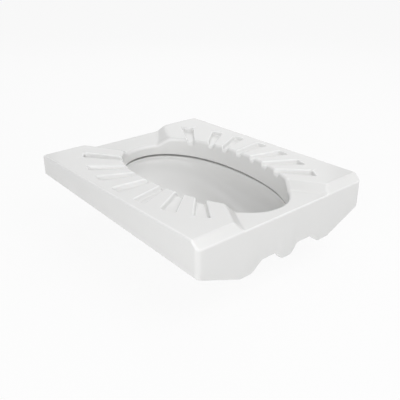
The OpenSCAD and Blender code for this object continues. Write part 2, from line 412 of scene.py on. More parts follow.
def groove_profile(d, top_r, foot_r):
    """Height along a groove's wall at a distance d in from its top edge: fillet, draft, fillet."""
    s, c = math.sin(GROOVE_DRAFT), math.cos(GROOVE_DRAFT)
    top_run, foot_run = top_r * s, foot_r * s
    straight = (GROOVE_DEPTH - (top_r + foot_r) * (1 - c)) / math.tan(GROOVE_DRAFT)
    run = top_run + straight + foot_run
    d = np.clip(d, 0.0, run)
    top = -(top_r - np.sqrt(np.clip(top_r ** 2 - np.minimum(d, top_run) ** 2, 0.0, None)))
    middle = -np.clip(d - top_run, 0.0, straight) * math.tan(GROOVE_DRAFT)
    left = np.minimum(run - d, foot_run)
    foot = -(foot_r * (1 - c) - (foot_r - np.sqrt(np.clip(foot_r ** 2 - left ** 2, 0.0, None))))
    return top + middle + foot, run


def edge_distance(x, y):
    """Distance in from the pan's outline."""
    qx, qy = np.abs(x) - (HALF_W - CORNER_R), np.abs(y) - (HALF_L - CORNER_R)
    out = np.hypot(np.maximum(qx, 0), np.maximum(qy, 0)) + np.minimum(np.maximum(qx, qy), 0)
    return CORNER_R - out


def edge_turn(x, y):
    """The turn from the pan's sides (0) round its corners to its ends (1)."""
    qx, qy = np.abs(x) - (HALF_W - CORNER_R), np.abs(y) - (HALF_L - CORNER_R)
    turn = np.arctan2(np.maximum(qy, 0) + 1e-9 * (qy > qx), np.maximum(qx, 0) + 1e-9 * (qx >= qy))
    return ease(turn / (math.pi / 2))


def deck_height(x, y, sizes):
    """The deck's upper surface, with every edge rounded."""
    bevel = NEAR_LEVEL + (y + HALF_L) * CHANNEL_NEAR / BEVEL_RUN
    tread = smooth_min(TREAD_Z, bevel, sizes.bevel_blend)
    near = TREAD_Z - slope_offset(x, y, NEAR_MOUTH) * CHANNEL_NEAR / SLOPE_RUN
    far = TREAD_Z - slope_offset(x, y, FAR_MOUTH) * CHANNEL_FAR / SLOPE_RUN
    slope = np.where(y < 0, near, far)
    tread = smooth_min(tread, slope, sizes.slope_blend)
    z = smooth_max(tread, channel_level(y), sizes.slope_blend)
    for walls in FAN:
        inset = groove_inset(x, y, walls, sizes.groove_corner)
        z = z + groove_profile(inset, sizes.groove_top, sizes.groove_foot)[0]
    rim_roll = sizes.rim_roll + (sizes.far_rim_roll - sizes.rim_roll) * ease(y / RIM_FAR)
    z = z - roll_drop(rim_distance(x, y), rim_roll)
    end_roll = np.where(y < 0, sizes.near_roll, sizes.far_roll)
    roll = sizes.side_roll + (end_roll - sizes.side_roll) * edge_turn(x, y)
    return z - roll_drop(edge_distance(x, y), roll)


def thin_glaze(x, y, sizes):
    """Share of painted highlight on the deck: 0 on flat and hollow places, 1 on the sharpest convex edges."""
    ways = ((STEP, 0), (-STEP, 0), (0, STEP), (0, -STEP))
    around = sum(deck_height(x + dx, y + dy, sizes) for dx, dy in ways)
    bend = (4 * deck_height(x, y, sizes) - around) / (STEP * STEP)
    # A groove's own outline, where its edge only begins to bend, gets no painted highlight.
    inset = np.max([groove_inset(x, y, walls, sizes.groove_corner) for walls in FAN], axis=0)
    full = (inset > -HIGHLIGHT_MARGIN) & (inset < HIGHLIGHT_MARGIN / 2)
    return np.where(full, 0.0, ease((bend - HIGHLIGHT_BEND) / (HIGHLIGHT_FULL_BEND - HIGHLIGHT_BEND)))


def outline_ring(inset):
    """The pan's outline, moved inwards, as evenly spaced points."""
    r = max(CORNER_R - inset, 0.5)
    cx, cy = HALF_W - inset - r, HALF_L - inset - r
    ring = []
    for sx, sy, start in ((1, 1, 0), (-1, 1, 90), (-1, -1, 180), (1, -1, 270)):
        turns = [math.radians(start + t) for t in np.linspace(0, 90, 9)]
        ring += [(sx * cx + r * math.cos(t), sy * cy + r * math.sin(t)) for t in turns]
    dense = []
    for a, b in pairs_round(ring):
        steps = max(1, round(math.dist(a, b) / OUTLINE_SPACING))
        dense += [(a[0] + (b[0] - a[0]) * i / steps, a[1] + (b[1] - a[1]) * i / steps)
                  for i in range(steps)]
    return dense


def rim_ring(distance, count=720):
    """Points at a distance outwards from the rim's oval."""
    t = np.arange(count) * 2 * math.pi / count
    tangent = oval_points(0.0, t + 1e-4) - oval_points(0.0, t - 1e-4)
    tangent /= np.linalg.norm(tangent, axis=1)[:, None]
    return oval_points(0.0, t) + distance * np.stack([tangent[:, 1], -tangent[:, 0]], 1)


def fan_reach(angle):
    """Distance from the fan's centre to the grooves' outer ends."""
    w, b_far, b_near = GROOVE_OVAL
    b = b_far if angle > 0 else b_near
    across, along = abs(math.cos(angle)) / w, abs(math.sin(angle)) / b
    return (across ** OVAL_POWER + along ** OVAL_POWER) ** (-1 / OVAL_POWER)


def groove_line(walls, inset, corner_r):
    """One contour of a groove's wall, from the opening out, round the end and back."""
    far, near = math.radians(walls[0]), math.radians(walls[1])
    r = max(corner_r - inset, 0.0)
    # Each side begins within the opening, where the deck is cut away.
    start = RIM_W * 0.6

    def on_side(angle, sign, along):
        """A point along one side wall."""
        c, s, shift = math.cos(angle), math.sin(angle), inset * sign
        return (along * c + shift * s, along * s - shift * c)

    def corner(angle, sign, along, first, turns):
        """Points round one of the two outer corners, where there is any roundness left."""
        if r <= LEAST_ROUND:
            return []
        inwards = sign * r * np.array([math.sin(angle), -math.cos(angle)])
        centre = np.array(on_side(angle, sign, along)) + inwards
        return [tuple(centre + r * np.array([math.cos(first - u), math.sin(first - u)])) for u in turns]

    # Walk out along the far side, round the end and back along the near side.
    far_end = fan_reach(far) - inset - r
    near_end = fan_reach(near) - inset - r
    line = [on_side(far, 1, s) for s in np.linspace(start, far_end, 28)]
    inner = fan_reach((far + near) / 2) - inset
    corner_far = math.asin(min((inset + r) / inner, 1.0))
    line += corner(far, 1, far_end, far + math.pi / 2, np.linspace(0.15, math.pi / 2 - 0.05, 6))
    for a in np.linspace(far - corner_far, near + corner_far, 8):
        reach = fan_reach(a) - inset
        line.append((reach * math.cos(a), reach * math.sin(a)))
    line += corner(near, -1, near_end, near, np.linspace(0.05, math.pi / 2 - 0.15, 6))
    line += [on_side(near, -1, s) for s in np.linspace(near_end, start, 28)]
    return [(px, py + FAN_Y) for px, py in line]


def slope_lines(sizes):
    """Lines where blends begin and end, on the slopes beside the channels and on the near bevel."""
    lines = []
    c, s = math.cos(CHANNEL_FLARE), math.sin(CHANNEL_FLARE)
    for mouth, drop, fall_rate in ((NEAR_MOUTH, CHANNEL_NEAR, 0.0),
                                   (FAR_MOUTH, CHANNEL_FAR, FAR_CHANNEL_FALL)):
        run = SLOPE_RUN / drop
        half, mouth_y, way = mouth
        for edge, widen in ((0.0, 0.0), (SLOPE_RUN, fall_rate * run)):
            for part in BLEND_PARTS:
                line = []
                for t in np.linspace(-45, 150, 40):
                    e = (edge + part * sizes.slope_blend * run + widen * t * c) / (1 + widen * s)
                    line.append((half - e * c - t * s, mouth_y - way * (t * c - e * s)))
                lines += [line, [(-x, y) for x, y in line]]
    spread = sizes.bevel_blend * BEVEL_RUN / CHANNEL_NEAR
    for part in BLEND_PARTS:
        y = -HALF_L + BEVEL_RUN + part * spread
        lines += [[(side * x, y) for x in np.linspace(110, HALF_W + 5, 36)] for side in (-1, 1)]
    return lines


def deck_plan(sizes):
    """Triangles of the deck seen from above, with lines along every edge that bends."""
    edge_r = max(sizes.side_roll, sizes.near_roll, sizes.far_roll)
    rim_r = max(sizes.rim_roll, sizes.far_rim_roll)
    run = groove_profile(np.zeros(1), sizes.groove_top, sizes.groove_foot)[1]
    rings = [outline_ring(d) for d in roll_steps(edge_r, 7)]
    rings += [rim_ring(d) for d in roll_steps(rim_r, 8)]
    lines = slope_lines(sizes)
    # The contour just outside a groove keeps the painted highlight from spreading over the tread.
    for walls in FAN:
        for inset in [-HIGHLIGHT_MARGIN, 0.0] + [run * k for k in GROOVE_STEPS]:
            line = groove_line(walls, inset, sizes.groove_corner)
            lines += [line, [(-x, y) for x, y in line]]
    points, edges = [], []
    for row, closed in [(ring, True) for ring in rings] + [(line, False) for line in lines]:
        steps = pairs_round(list(range(len(points), len(points) + len(row))))
        points += [tuple(p) for p in row]
        edges += steps if closed else steps[:-1]
    points += [(gx, gy) for gy in GRID_Y for gx in GRID_X]
    flat, _, tris, _, _, _ = delaunay_2d_cdt([Vector(p) for p in points], edges, [], 0, 1e-4)
    xy = np.array([tuple(p) for p in flat])
    tris = np.array(tris)
    x, y = xy[tris].mean(1).T
    tris = tris[(rim_distance(x, y) > 0) & (edge_distance(x, y) > 0)]
    used, tris = np.unique(tris, return_inverse=True)
    tris = tris.reshape(-1, 3)
    # Turn every triangle to face up.
    xy = xy[used]
    a, b, c = (xy[tris[:, k]] for k in range(3))
    down = np.cross(b - a, c - a) < 0
    tris[down] = tris[down][:, ::-1]
    return xy, tris


def deck_normals(x, y, sizes):
    """Normals of the deck's upper surface, which are level along the outline and the opening."""
    slope_x = (deck_height(x + STEP, y, sizes) - deck_height(x - STEP, y, sizes)) / (2 * STEP)
    slope_y = (deck_height(x, y + STEP, sizes) - deck_height(x, y - STEP, sizes)) / (2 * STEP)
    normal = np.stack([-slope_x, -slope_y, np.ones(len(x))], 1)
    for distance in (rim_distance, edge_distance):
        here = distance(x, y)
        way_in = np.stack([distance(x + STEP, y) - here, distance(x, y + STEP) - here], 1)
        on_edge = here < ON_EDGE
        normal[on_edge, :2] = -way_in[on_edge]
        normal[on_edge, 2] = 0.0
    return normal / np.linalg.norm(normal, axis=1)[:, None]


def deck_piece(sizes):
    """The deck: its upper surface, upright walls below its edges, and its hollowed underside."""
    xy, tris = deck_plan(sizes)
    x, y = xy.T
    normal = deck_normals(x, y, sizes)
    top = np.column_stack([x, y, deck_height(x, y, sizes)])
    # Upright walls from each boundary edge down to the deck's flat underside.
    sides = dict.fromkeys(side for tri in tris.tolist() for side in pairs_round(tri))
    border = [(a, b) for a, b in sides if (b, a) not in sides]
    ring_ids = sorted({k for side in border for k in side})
    below = {k: i for i, k in enumerate(ring_ids)}
    low = top[ring_ids]
    low[:, 2] = DECK_Z
    base = len(top)
    faces = tris.tolist() + [(b, a, base + below[a], base + below[b]) for a, b in border]
    first_flat = len(faces)
    # The underside, with the hollows cast under the treads.
    under_verts, under_faces = deck_underside(low, [(below[a], below[b]) for a, b in border])
    verts = np.vstack([top, under_verts])
    normals = np.vstack([normal, normal[ring_ids], np.zeros((len(under_verts) - len(low), 3))])
    faces += [tuple(k + base for k in face) for face in under_faces]
    deck = finish_mesh("deck", verts, faces, normals=normals, flat_from=first_flat)
    share = np.zeros(len(verts))
    # Painted highlight: weighted by how far the surface faces up, so the lit tops of edges are painted
    # whiter.
    share[:base] = thin_glaze(x, y, sizes) * normal[:, 2]
    deck.data.attributes.new("thin_glaze", "FLOAT", "POINT").data.foreach_set("value", share)
    return deck


def deck_underside(border, edges):
    """Closes the deck below: its points are the border's first, then those of the two hollows."""
    edge_x, edge_y = HALF_W - WALL_T, HALF_L - WALL_T
    oval = oval_points(WATER_GROW + CHANNEL_T + TREAD_HOLLOW_GAP, np.radians(np.linspace(-90, 90, 49)))
    oval = [tuple(p) for p in oval if p[0] > TREAD_HOLLOW_X and abs(p[1]) < edge_y]
    outline = [(edge_x, -edge_y), (edge_x, edge_y), (TREAD_HOLLOW_X, edge_y)]
    outline += oval[::-1] + [(TREAD_HOLLOW_X, -edge_y)]
    points = [Vector(p[:2]) for p in border]
    walls = []
    for side in (1, -1):
        walls += pairs_round(list(range(len(points), len(points) + len(outline))))
        points += [Vector((side * x, y)) for x, y in outline]
    flat, _, tris, original, _, _ = delaunay_2d_cdt(points, edges + walls, [], 0, 1e-5)
    source = {k: ids[0] for k, ids in enumerate(original) if ids}
    xy = np.array([tuple(p) for p in flat])
    # Each hollow's outline comes twice: at the underside, and again higher up, round its roof.
    up = len(points) - len(border)
    verts = [tuple(p) for p in border]
    verts += [(p.x, p.y, DECK_Z + rise) for rise in (0.0, TREAD_HOLLOW_UP) for p in points[len(border):]]
    faces = []
    for tri in tris:
        middle = xy[list(tri)].mean(0)
        ids = tuple(source[k] for k in tri)
        if rim_distance(*middle) < 0 or edge_distance(*middle) < 0:
            continue
        if inside_polygon(np.abs(middle[0]), middle[1], outline):
            faces.append(tuple(k + up for k in ids))
        else:
            faces.append(ids)
    return np.array(verts), faces + [(a, b, b + up, a + up) for a, b in walls]


def inside_polygon(x, y, polygon):
    """Whether a point lies inside a polygon."""
    inside = False
    for (bx, by), (ax, ay) in pairs_round(polygon):
        if (ay > y) != (by > y) and x < (bx - ax) * (y - ay) / (by - ay) + ax:
            inside = not inside
    return inside


# ---- rim

def end_angle(grow):
    """The oval's angle, towards the near end, at which the water channel ends."""
    return math.asin((CHANNEL_REACH / (RIM_NEAR + grow)) ** (OVAL_POWER / 2))


def rim_point(grow, u, way):
    """A point at a share u of the way round the rim, by its far side (way 1) or near side (-1)."""
    start = -way * end_angle(grow)
    angle = way * (start + (math.pi - 2 * start) * u)
    return oval_points(grow, np.array([angle]))[0]


def round_the_rim(profile, count=200):
    """Sweeps a profile of (grow, level, whether it tilts with the rim) round the rim's far side."""
    sections = []
    for k in range(count + 1):
        section = []
        for grow, level, tilt in profile:
            x, y = rim_point(grow, k / count, 1)
            section.append((x, y, fall(level, y) if tilt else level))
        sections.append(section)
    return sweep(sections)


def rim_lip_piece(sizes):
    """The wall that hangs down round the opening, rounded along its lower edge."""
    r = sizes.lip_round
    foot = arc(r, r, r, 180, 270, 5) + arc(LIP_T - r, r, r, 270, 360, 5)
    profile = [(0.0, DECK_Z, False)] + [(grow, LIP_Z + z, True) for grow, z in foot]
    profile += [(LIP_T, DECK_Z, False)]
    return finish_mesh("rim_lip", *round_the_rim(profile))


def rim_channel_piece(sizes):
    """The trough behind the lip, with its outer wall and the gate from the flush box."""
    r = sizes.lip_round
    outer = WATER_GROW + CHANNEL_T
    floor = arc(BOWL_GROW + r, CHANNEL_Z - r, r, 180, 90, 5) + [(WATER_GROW - r, CHANNEL_Z)]
    floor += arc(WATER_GROW - r, CHANNEL_Z + r, r, -60, 0, 3)
    profile = [(BOWL_GROW, BOWL_Z, True)] + [(grow, z, True) for grow, z in floor]
    profile += [(WATER_GROW, DECK_Z, False), (outer, DECK_Z, False), (outer, BOWL_Z, True)]
    piece = finish_mesh("rim_channel", *round_the_rim(profile))
    gate_y = RIM_FAR + WATER_GROW - GATE_REACH
    cut_box(piece, (-GATE_HALF_W, gate_y, fall(CHANNEL_Z, gate_y)), (GATE_HALF_W, HALF_L, TREAD_Z))
    return piece


def rim_end_block_piece():
    """The closed near end of the rim, whose inner face runs down into the bowl."""
    count, levels = 72, 14
    sections = []
    for k in range(count + 1):
        section = []
        for i in range(levels + 1):
            v = i / levels
            x, y = rim_point(BOWL_GROW * float(ease(v)), k / count, -1)
            section.append((x, y, DECK_Z + (fall(BOWL_Z, y) - DECK_Z) * v))
        x, y = rim_point(BOWL_GROW + BOWL_WALL, k / count, -1)
        section += [(x, y, fall(BOWL_Z, y)), (x, y, DECK_Z)]
        sections.append(section)
    return finish_mesh("rim_end_block", *sweep(sections))


# ---- bowl and outlet

def bowl_ring(u, grow, floor_z, angles):
    """A ring of the bowl at a share u of the way down from the rim to its floor."""
    mouth = oval_points(BOWL_GROW + grow, angles)
    mouth_z = fall(BOWL_Z, mouth[:, 1])
    drain_r = OUTLET_BORE_R + grow * SUMP_WALL / BOWL_WALL
    drain = np.stack([drain_r * np.cos(angles), OUTLET_Y + drain_r * np.sin(angles)], 1)
    # The near wall falls steeply and then turns in; the far wall slopes in all the way.
    far = ease(np.sin(angles))
    g = np.clip(1 - u ** (3 - 1.5 * far), 0.0, 1.0) ** (0.5 + 0.15 * far)
    xy = drain + (mouth - drain) * g[:, None]
    return np.column_stack([xy, mouth_z + (floor_z - mouth_z) * u])


def level_ring(r, z, angles):
    """A level circle round the outlet."""
    return np.column_stack([r * np.cos(angles), OUTLET_Y + r * np.sin(angles), np.full(len(angles), z)])


def bowl_piece():
    """The bowl's shell, from the rim down to the outlet's bore and back up outside."""
    angles = np.arange(180) * 2 * math.pi / 180
    steps = np.sin(np.linspace(0, math.pi / 2, 44)) ** 1.2
    inner = [bowl_ring(u, 0.0, SPIGOT_TOP + SUMP_T, angles) for u in steps]
    inner += [level_ring(OUTLET_BORE_R, SPIGOT_TOP, angles)]
    outer = [bowl_ring(u, BOWL_WALL, SPIGOT_TOP, angles) for u in steps[::-1]]
    return finish_mesh("bowl", *sweep(inner + outer, closed=True), sharp=BOWL_SHARP_ANGLE)


def lathe(name, profile, y, z, upright, slot=CHINA_SLOT, sharp=SHARP_ANGLE, count=128):
    """Turns a closed profile of (radius, along) points round an upright axis or a lengthwise one."""
    sections = []
    for k in range(count):
        t = 2 * math.pi * k / count
        c, s = math.cos(t), math.sin(t)
        if upright:
            sections.append([(r * c, y + r * s, z + along) for r, along in profile])
        else:
            sections.append([(r * c, y + along, z + r * s) for r, along in profile])
    return finish_mesh(name, *sweep(sections, closed=True), slot, sharp=sharp)


def outlet_spigot_piece():
    """The round outlet, with a narrower neck above its free length."""
    r, edge = 3.0, 1.0
    profile = [(OUTLET_BORE_R, SPIGOT_TOP)]
    profile += arc(OUTLET_BORE_R + r, r, r, 180, 270, 5) + arc(SPIGOT_R - r, r, r, 270, 360, 5)
    profile += arc(SPIGOT_R - edge, FREE_LENGTH - edge, edge, 0, 90, 3)
    profile += [(NECK_R, FREE_LENGTH), (NECK_R, SPIGOT_TOP)]
    return lathe("outlet_spigot", profile, OUTLET_Y, 0.0, True)


# ---- skirts and end walls

def skirt_low(y):
    """Height of a skirt's lower edge, which rises towards the far end."""
    return TREAD_Z - SKIRT_NEAR + (y + HALF_L) * (SKIRT_NEAR - SKIRT_FAR) / (2 * HALF_L)


def skirt_piece(side, sizes):
    """A long side wall, rounded along its foot; side is -1 for the left one and 1 for the right."""
    r = sizes.foot_round
    sections = []
    for y in np.linspace(-HALF_L + WALL_T, HALF_L - WALL_T, 25):
        low = skirt_low(y)
        section = [(HALF_W, DECK_Z)]
        section += arc(HALF_W - r, low + r, r, 0, -90, 5)
        section += [(HALF_W - WALL_T, low), (HALF_W - WALL_T, DECK_Z)]
        sections.append([(side * x, y, z) for x, z in section])
    return finish_mesh("left_skirt" if side < 0 else "right_skirt", *sweep(sections))


def near_edge(x):
    """Height of the near end wall's lower edge: two arches between three feet."""
    x = abs(x)
    if x > OUTER_FOOT_X:
        drop = min(FOOT_DROP, (HALF_W - x) / EDGE_RUN)
    elif x > ARCH_X:
        drop = ARCH_DROP + (FOOT_DROP - ARCH_DROP) * ease_over(x, OUTER_FOOT_SIDE)
    else:
        drop = FOOT_DROP + (ARCH_DROP - FOOT_DROP) * ease_over(x, MIDDLE_FOOT_SIDE)
    return TREAD_Z - SKIRT_NEAR - drop


def far_edge(x):
    """Height of the far end wall's lower edge: a broad standing foot with a notch in its middle."""
    x = abs(x)
    corner = TREAD_Z - SKIRT_FAR
    if x > WALL_BEND_X:
        return corner - (HALF_W - x) / EDGE_RUN
    if x > STANDING_FOOT_X:
        return (corner - FOOT_DROP) * ease_over(x, STANDING_FOOT_SIDE)
    return NOTCH_H * (1 - ease_over(x, NOTCH_SIDE))


def end_wall_piece(name, edge, y_sign, sizes):
    """An end wall with two rounded upright corners; a section runs from the inner to the outer face."""
    r = sizes.foot_round
    flat_x = HALF_W - CORNER_R
    inner = Vector((HALF_W - WALL_T, HALF_L - WALL_T))
    corner_z = float(skirt_low(y_sign * (HALF_L - WALL_T)))
    wall_z = float(edge(flat_x))
    corner = [(inner, Vector((HALF_W, inner.y)), corner_z)]
    for t in np.radians(np.linspace(0, 90, 9)):
        outer = Vector((flat_x + CORNER_R * math.cos(t), HALF_L - CORNER_R + CORNER_R * math.sin(t)))
        corner.append((inner, outer, corner_z + (wall_z - corner_z) * float(t) / (math.pi / 2)))
    mirror = Vector((-1, 1))
    stations = [(a * mirror, b * mirror, z) for a, b, z in corner]
    for x in np.linspace(-inner.x, inner.x, 239)[1:-1]:
        stations.append((Vector((x, inner.y)), Vector((x, HALF_L)), float(edge(x))))
    stations += corner[::-1]
    sections = []
    for start, end, low in stations:
        depth = (end - start).length
        way = (end - start) / depth
        section = [(depth, DECK_Z)]
        section += arc(depth - r, low + r, r, 0, -90, 5)
        # The corner's sections share one inner edge, so that it closes without a folded face.
        section += [(0.0, wall_z if abs(start.x) == inner.x else low), (0.0, DECK_Z)]
        sections.append([(start.x + way.x * d, y_sign * (start.y + way.y * d), z) for d, z in section])
    return finish_mesh(name, *sweep(sections))


def cut_with(piece, cutter):
    """Takes the cutter's shape out of a piece and removes the cutter."""
    cut = piece.modifiers.new("hole", "BOOLEAN")
    cut.object = cutter
    cut.operation = "DIFFERENCE"
    cut.solver = "EXACT"
    graph = bpy.context.evaluated_depsgraph_get()
    mesh = bpy.data.meshes.new_from_object(piece.evaluated_get(graph))
    piece.modifiers.clear()
    old = piece.data
    piece.data = mesh
    mesh.set_sharp_from_angle(angle=math.radians(SHARP_ANGLE))
    bpy.data.meshes.remove(old)
    bpy.data.objects.remove(cutter)


def cut_round_hole(piece, centre, r, length):
    """Cuts a hole along Y through a piece."""
    bpy.ops.mesh.primitive_cylinder_add(vertices=96, radius=r * MM, depth=length * MM,
                                        location=[v * MM for v in centre], rotation=(math.pi / 2, 0, 0))
    cut_with(piece, bpy.context.object)


def cut_box(piece, low, high):
    """Cuts a box out of a piece."""
    middle = [(a + b) / 2 * MM for a, b in zip(low, high)]
    bpy.ops.mesh.primitive_cube_add(size=1.0, location=middle)
    cutter = bpy.context.object
    cutter.scale = [(b - a) * MM for a, b in zip(low, high)]
    cut_with(piece, cutter)


# ---- inlet and seals

def flush_box_piece():
    """The cast chamber behind the bowl, taken from its CAD solid with its edges softened."""
    work = bmesh.new()
    work.from_mesh(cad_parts["flush_box"].data)
    bmesh.ops.remove_doubles(work, verts=work.verts, dist=1e-6)
    bmesh.ops.dissolve_limit(work, angle_limit=math.radians(1), verts=work.verts, edges=work.edges)
    # The edges that meet the deck and the far end wall stay sharp, so that they close on them.
    top, back = (DECK_Z - 1) * MM, (HALF_L - WALL_T - 1) * MM
    sharp = [e for e in work.edges if len(e.link_faces) == 2 and e.calc_face_angle() > math.radians(60)
             and e.is_convex and all(v.co.z < top and v.co.y < back for v in e.verts)]
    bmesh.ops.bevel(work, geom=sharp, offset=2.5 * MM, segments=3, affect="EDGES", profile=0.5)
    verts = [tuple(c / MM for c in v.co) for v in work.verts]
    faces = [tuple(v.index for v in f.verts) for f in work.faces]
    work.free()
    return finish_mesh("flush_box", verts, faces)


def inlet_horn_piece():
    """The china sleeve that the flush pipe's seal sits in."""
    length = HORN_HIGH[1] - HORN_LOW[1]
    bore = cad_box("inlet_seal")[1][0] - FLANGE_STEP
    r = 1.5
    profile = arc(bore + r, r, r, 180, 270, 4) + arc(HORN_R - r, r, r, 270, 360, 4)
    profile += [(HORN_R, length), (bore, length)]
    return lathe("inlet_horn", profile, HORN_LOW[1], INLET_Z, False)


def inlet_seal_piece():
    """A rubber sleeve with a flange and three sealing ribs in its bore."""
    low, high = cad_box("inlet_seal")
    length = high[1] - low[1]
    flange_r = high[0]
    sleeve_r = flange_r - FLANGE_STEP
    rib_foot_r = PIPE_R + 0.8
    profile = [(sleeve_r, 0.8), (sleeve_r, length - 4.0), (flange_r, length - 4.0)]
    profile += arc(flange_r - 1.0, length - 1.0, 1.0, 0, 90, 3)
    profile += arc(PIPE_R + 1.5, length - 1.5, 1.5, 90, 180, 4)
    for k in range(3):
        middle = length - 7.0 - 6.0 * k
        profile += [(rib_foot_r, middle + 1.6), (PIPE_R, middle + 0.4)]
        profile += [(PIPE_R, middle - 0.4), (rib_foot_r, middle - 1.6)]
    profile += [(rib_foot_r, 0.8), (PIPE_R + 1.4, 0.0), (sleeve_r - 0.8, 0.0)]
    return lathe("inlet_seal", profile, low[1], INLET_Z, False, RUBBER_SLOT, RUBBER_SHARP_ANGLE)


def outlet_seal_piece():
    """A rubber ring in the spigot's neck, with a lip that bends against the drain's socket."""
    low, high = cad_box("outlet_seal")
    outer = high[0]
    height = high[2] - low[2]
    body = NECK_R + 5.0
    profile = [(NECK_R, 0.0), (body - 0.8, 0.0), (body, 0.8), (outer - 0.4, height / 3 - 0.4)]
    profile += [(outer, height / 3), (outer, height / 2), (outer - 0.4, height / 2 + 0.4)]
    profile += [(body, height - 0.8), (body - 0.8, height), (NECK_R, height)]
    return lathe("outlet_seal", profile, OUTLET_Y, low[2], True, RUBBER_SLOT, RUBBER_SHARP_ANGLE)


# ---- stage

# The stage's places and sizes are in metres, the lens and the sensor in millimetres
CAMERA_PLACE = (-0.80795, -0.95240, 0.67661)
CAMERA_AZIMUTH = -40.848
CAMERA_ELEVATION = 25.001
LENS = 50.0
SENSOR = 36.0

# Each lamp's turn from the near end towards the right and its height, in degrees
LAMPS = {"near": (15, 55), "right": (45, 32), "low": (-60, 10), "left": (-60, 32),
         "far": (140, 55), "far_low": (140, 32)}
LAMP_AIM = Vector((0, 0, 0.15))
LAMP_DISTANCE = 2.6
LAMP_SIZE = 2.0
FLOOR_SIZE = 14.0
FLOOR_DROP = 0.0005


def area_lamp(name, azimuth, elevation, power):
    """A square soft box aimed at the pan."""
    a, e = math.radians(azimuth), math.radians(elevation)
    way = Vector((math.sin(a) * math.cos(e), -math.cos(a) * math.cos(e), math.sin(e)))
    lamp = bpy.data.lights.new(name, "AREA")
    lamp.shape = "SQUARE"
    lamp.size = LAMP_SIZE
    lamp.energy = power
    body = bpy.data.objects.new(name, lamp)
    body.location = LAMP_AIM + way * LAMP_DISTANCE
    body.rotation_euler = (-way).to_track_quat("-Z", "Y").to_euler()
    bpy.context.scene.collection.objects.link(body)


def seen_directly(tree):
    """1 for rays from the camera and for those that the pan reflects or lets through, else 0."""
    path = add_node(tree, "ShaderNodeLightPath")
    seen = path.outputs["Is Camera Ray"]
    for other in ("Is Glossy Ray", "Is Transmission Ray"):
        larger = add_node(tree, "ShaderNodeMath", {"operation": "MAXIMUM"}, {0: seen, 1: path.outputs[other]})
        seen = larger.outputs[0]
    return seen


def studio_floor(studio):
    """Seamless white paper that keeps a faint shadow of the pan."""
    material, tree = new_material("seamless_paper")
    place = add_node(tree, "ShaderNodeTexCoord").outputs["Object"]
    fibre = add_node(tree, "ShaderNodeTexNoise", {"Scale": 1 / (4 * MM), "Detail": 2.0}, {"Vector": place})
    skin = add_node(tree, "ShaderNodeBump", {"Strength": 0.05, "Distance": 0.1 * MM},
                    {"Height": fibre.outputs[0]})
    paper = add_node(tree, "ShaderNodeBsdfPrincipled", {"Roughness": 0.9, "Specular IOR Level": 0.1,
                     "Base Color": linear("#F4F4F4")}, {"Normal": skin.outputs[0]})
    glow = add_node(tree, "ShaderNodeEmission", {"Color": linear("#FFFFFF"), "Strength": 1.0})
    share = add_node(tree, "ShaderNodeMath", {"operation": "MULTIPLY", 1: 1 - studio.shadow},
                     {0: seen_directly(tree)})
    mix = add_node(tree, "ShaderNodeMixShader", None,
                   {0: share.outputs[0], 1: paper.outputs[0], 2: glow.outputs[0]})
    add_node(tree, "ShaderNodeOutputMaterial", None, {"Surface": mix.outputs[0]})
    bpy.ops.mesh.primitive_plane_add(size=FLOOR_SIZE, location=(0, 0, -FLOOR_DROP))
    floor = bpy.context.object
    floor.name = "studio_floor"
    floor.data.materials.append(material)


def studio_world(studio):
    """A dim even fill, which is seen directly as plain white."""
    world = bpy.data.worlds.new("studio_world")
    bpy.context.scene.world = world
    world.use_nodes = True
    tree = world.node_tree
    tree.nodes.clear()
    paper_white = linear("#FFFFFF")
    light = add_node(tree, "ShaderNodeBackground", {"Color": paper_white, "Strength": studio.fill_level})
    white = add_node(tree, "ShaderNodeBackground", {"Color": paper_white, "Strength": 1.0})
    mix = add_node(tree, "ShaderNodeMixShader", None,
                   {0: seen_directly(tree), 1: light.outputs[0], 2: white.outputs[0]})
    add_node(tree, "ShaderNodeOutputWorld", None, {"Surface": mix.outputs[0]})


def photo_camera():
    """The photograph's view, from over the pan's near left corner."""
    data = bpy.data.cameras.new("camera")
    data.lens = LENS
    data.sensor_width = SENSOR
    camera = bpy.data.objects.new("camera", data)
    camera.location = CAMERA_PLACE
    camera.rotation_euler = (math.radians(90 - CAMERA_ELEVATION), 0, math.radians(CAMERA_AZIMUTH))
    bpy.context.scene.collection.objects.link(camera)
    bpy.context.scene.camera = camera


# ---- settings

def level(name, description, default, **options):
    """A setting that holds one number."""
    return FloatProperty(name=name, description=description, default=default, **options)


def colour(name, description, default):
    """A colour setting, whose default is given in sRGB."""
    return FloatVectorProperty(name=name, description=description, subtype="COLOR",
                               default=linear(default)[:3])


class PanRoundings(bpy.types.PropertyGroup):
    """Sizes of the casting's rounded and blended edges, in millimetres."""
    rim_roll: level("Rim roll", "Radius where the deck rolls into the opening", 7.5)
    far_rim_roll: level("Far rim roll", "The rim roll's radius at the far end", 11.0)
    side_roll: level("Side edges", "Radius of the deck's long upper edges", 4.5)
    near_roll: level("Near edge", "Radius of the near edge below the bevel", 3.5)
    far_roll: level("Far edge", "Radius of the far upper edge", 7.0)
    groove_top: level("Groove top", "Radius along the tops of the ribs", 4.2)
    groove_foot: level("Groove foot", "Radius along the grooves' floors", 4.8)
    groove_corner: level("Groove corners", "Radius of a groove's end corners in plan", 9.5)
    slope_blend: level("Slope blend", "Height over which a slope's edges blend", 3.0)
    bevel_blend: level("Bevel blend", "Height over which the near bevel blends", 2.0)
    lip_round: level("Lip", "Radius along the lip's lower edge", 3.5)
    foot_round: level("Foot", "Radius along the lower edges of the walls", 3.0)


class PanFinish(bpy.types.PropertyGroup):
    """Colours and gloss of the china and the rubber."""
    china_colour: colour("China", "Colour of the glazed china", "#F1F1F0")
    # Painted highlight: the colour that upward-facing convex edges of the deck are mixed towards.
    edge_colour: colour("Edge colour", "White of the body where the glaze is thin", "#FFFFFF")
    china_roughness: level("Glaze roughness", "Roughness of the fired glaze", 0.16, subtype="FACTOR")
    rubber_colour: colour("Rubber", "Colour of the seals", "#262626")


